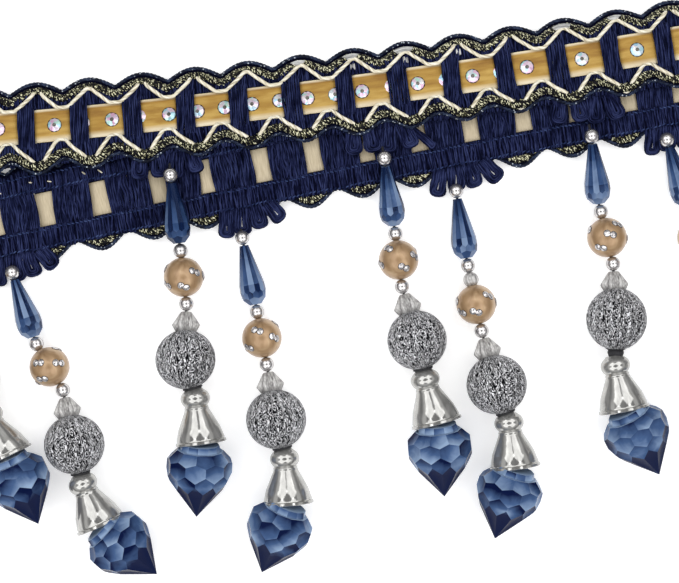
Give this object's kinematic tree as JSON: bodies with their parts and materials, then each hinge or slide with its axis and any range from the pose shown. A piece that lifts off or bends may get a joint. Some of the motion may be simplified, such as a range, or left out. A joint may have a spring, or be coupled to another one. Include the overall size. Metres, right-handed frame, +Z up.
{
  "type": "length of beaded tassel fringe trim",
  "caption": "Length of scalloped yarn braid with a velvet ribbon woven through it and bead pendants hanging from loop tufts, folded double and lying flat.",
  "frame": {"origin": "on the underside of the lower run, at the middle of one of its narrow binding bars, on the surface that the trim lies on", "axes": "+X along the band towards the fold, +Y across the band away from the pendants, +Z up off the surface"},
  "size_m": [0.2338, 0.1294, 0.0153],
  "materials": {
    "navy_yarn": "matt twisted yarn",
    "gold_velvet": "short pile velvet ribbon with satin edges",
    "sapphire_acrylic": "faceted transparent plastic",
    "plated_silver": "bright plated plastic",
    "satin_bronze": "satin pearl coating",
    "glitter_silver": "crinkled silver coating",
    "cream_cord": "twisted cotton cord",
    "metallic_cord": "dark yarn knitted with metallic thread",
    "rhinestone": "foiled glass stone"
  },
  "bodies": {
    "root": {"braid_ground": "navy_yarn", "velvet_ribbon": "gold_velvet", "loop_tuft_a": "navy_yarn", "teardrop_a": "sapphire_acrylic", "round_bead_a": "satin_bronze", "ball_a": "glitter_silver", "bell_a": "plated_silver", "crystal_drop_a": "sapphire_acrylic", "loop_tuft_b": "navy_yarn", "teardrop_b": "sapphire_acrylic", "round_bead_b": "satin_bronze", "ball_b": "glitter_silver", "bell_b": "plated_silver", "crystal_drop_b": "sapphire_acrylic", "loop_tuft_c": "navy_yarn", "teardrop_c": "sapphire_acrylic", "round_bead_c": "satin_bronze", "ball_c": "glitter_silver", "bell_c": "plated_silver", "crystal_drop_c": "sapphire_acrylic", "loop_tuft_d": "navy_yarn", "teardrop_d": "sapphire_acrylic", "round_bead_d": "satin_bronze", "ball_d": "glitter_silver", "bell_d": "plated_silver", "crystal_drop_d": "sapphire_acrylic", "loop_tuft_e": "navy_yarn", "teardrop_e": "sapphire_acrylic", "round_bead_e": "satin_bronze", "ball_e": "glitter_silver", "bell_e": "plated_silver", "crystal_drop_e": "sapphire_acrylic", "loop_tuft_f": "navy_yarn", "teardrop_f": "sapphire_acrylic", "round_bead_f": "satin_bronze", "ball_f": "glitter_silver", "bell_f": "plated_silver", "crystal_drop_f": "sapphire_acrylic", "loop_tuft_g": "navy_yarn", "teardrop_g": "sapphire_acrylic", "round_bead_g": "satin_bronze", "ball_g": "glitter_silver", "bell_g": "plated_silver", "crystal_drop_g": "sapphire_acrylic", "loop_tuft_h": "navy_yarn", "teardrop_h": "sapphire_acrylic", "round_bead_h": "satin_bronze", "ball_h": "glitter_silver", "bell_h": "plated_silver", "crystal_drop_h": "sapphire_acrylic", "loop_tuft_i": "navy_yarn", "teardrop_i": "sapphire_acrylic", "round_bead_i": "satin_bronze", "ball_i": "glitter_silver", "bell_i": "plated_silver", "crystal_drop_i": "sapphire_acrylic"}
  },
  "joints": []
}
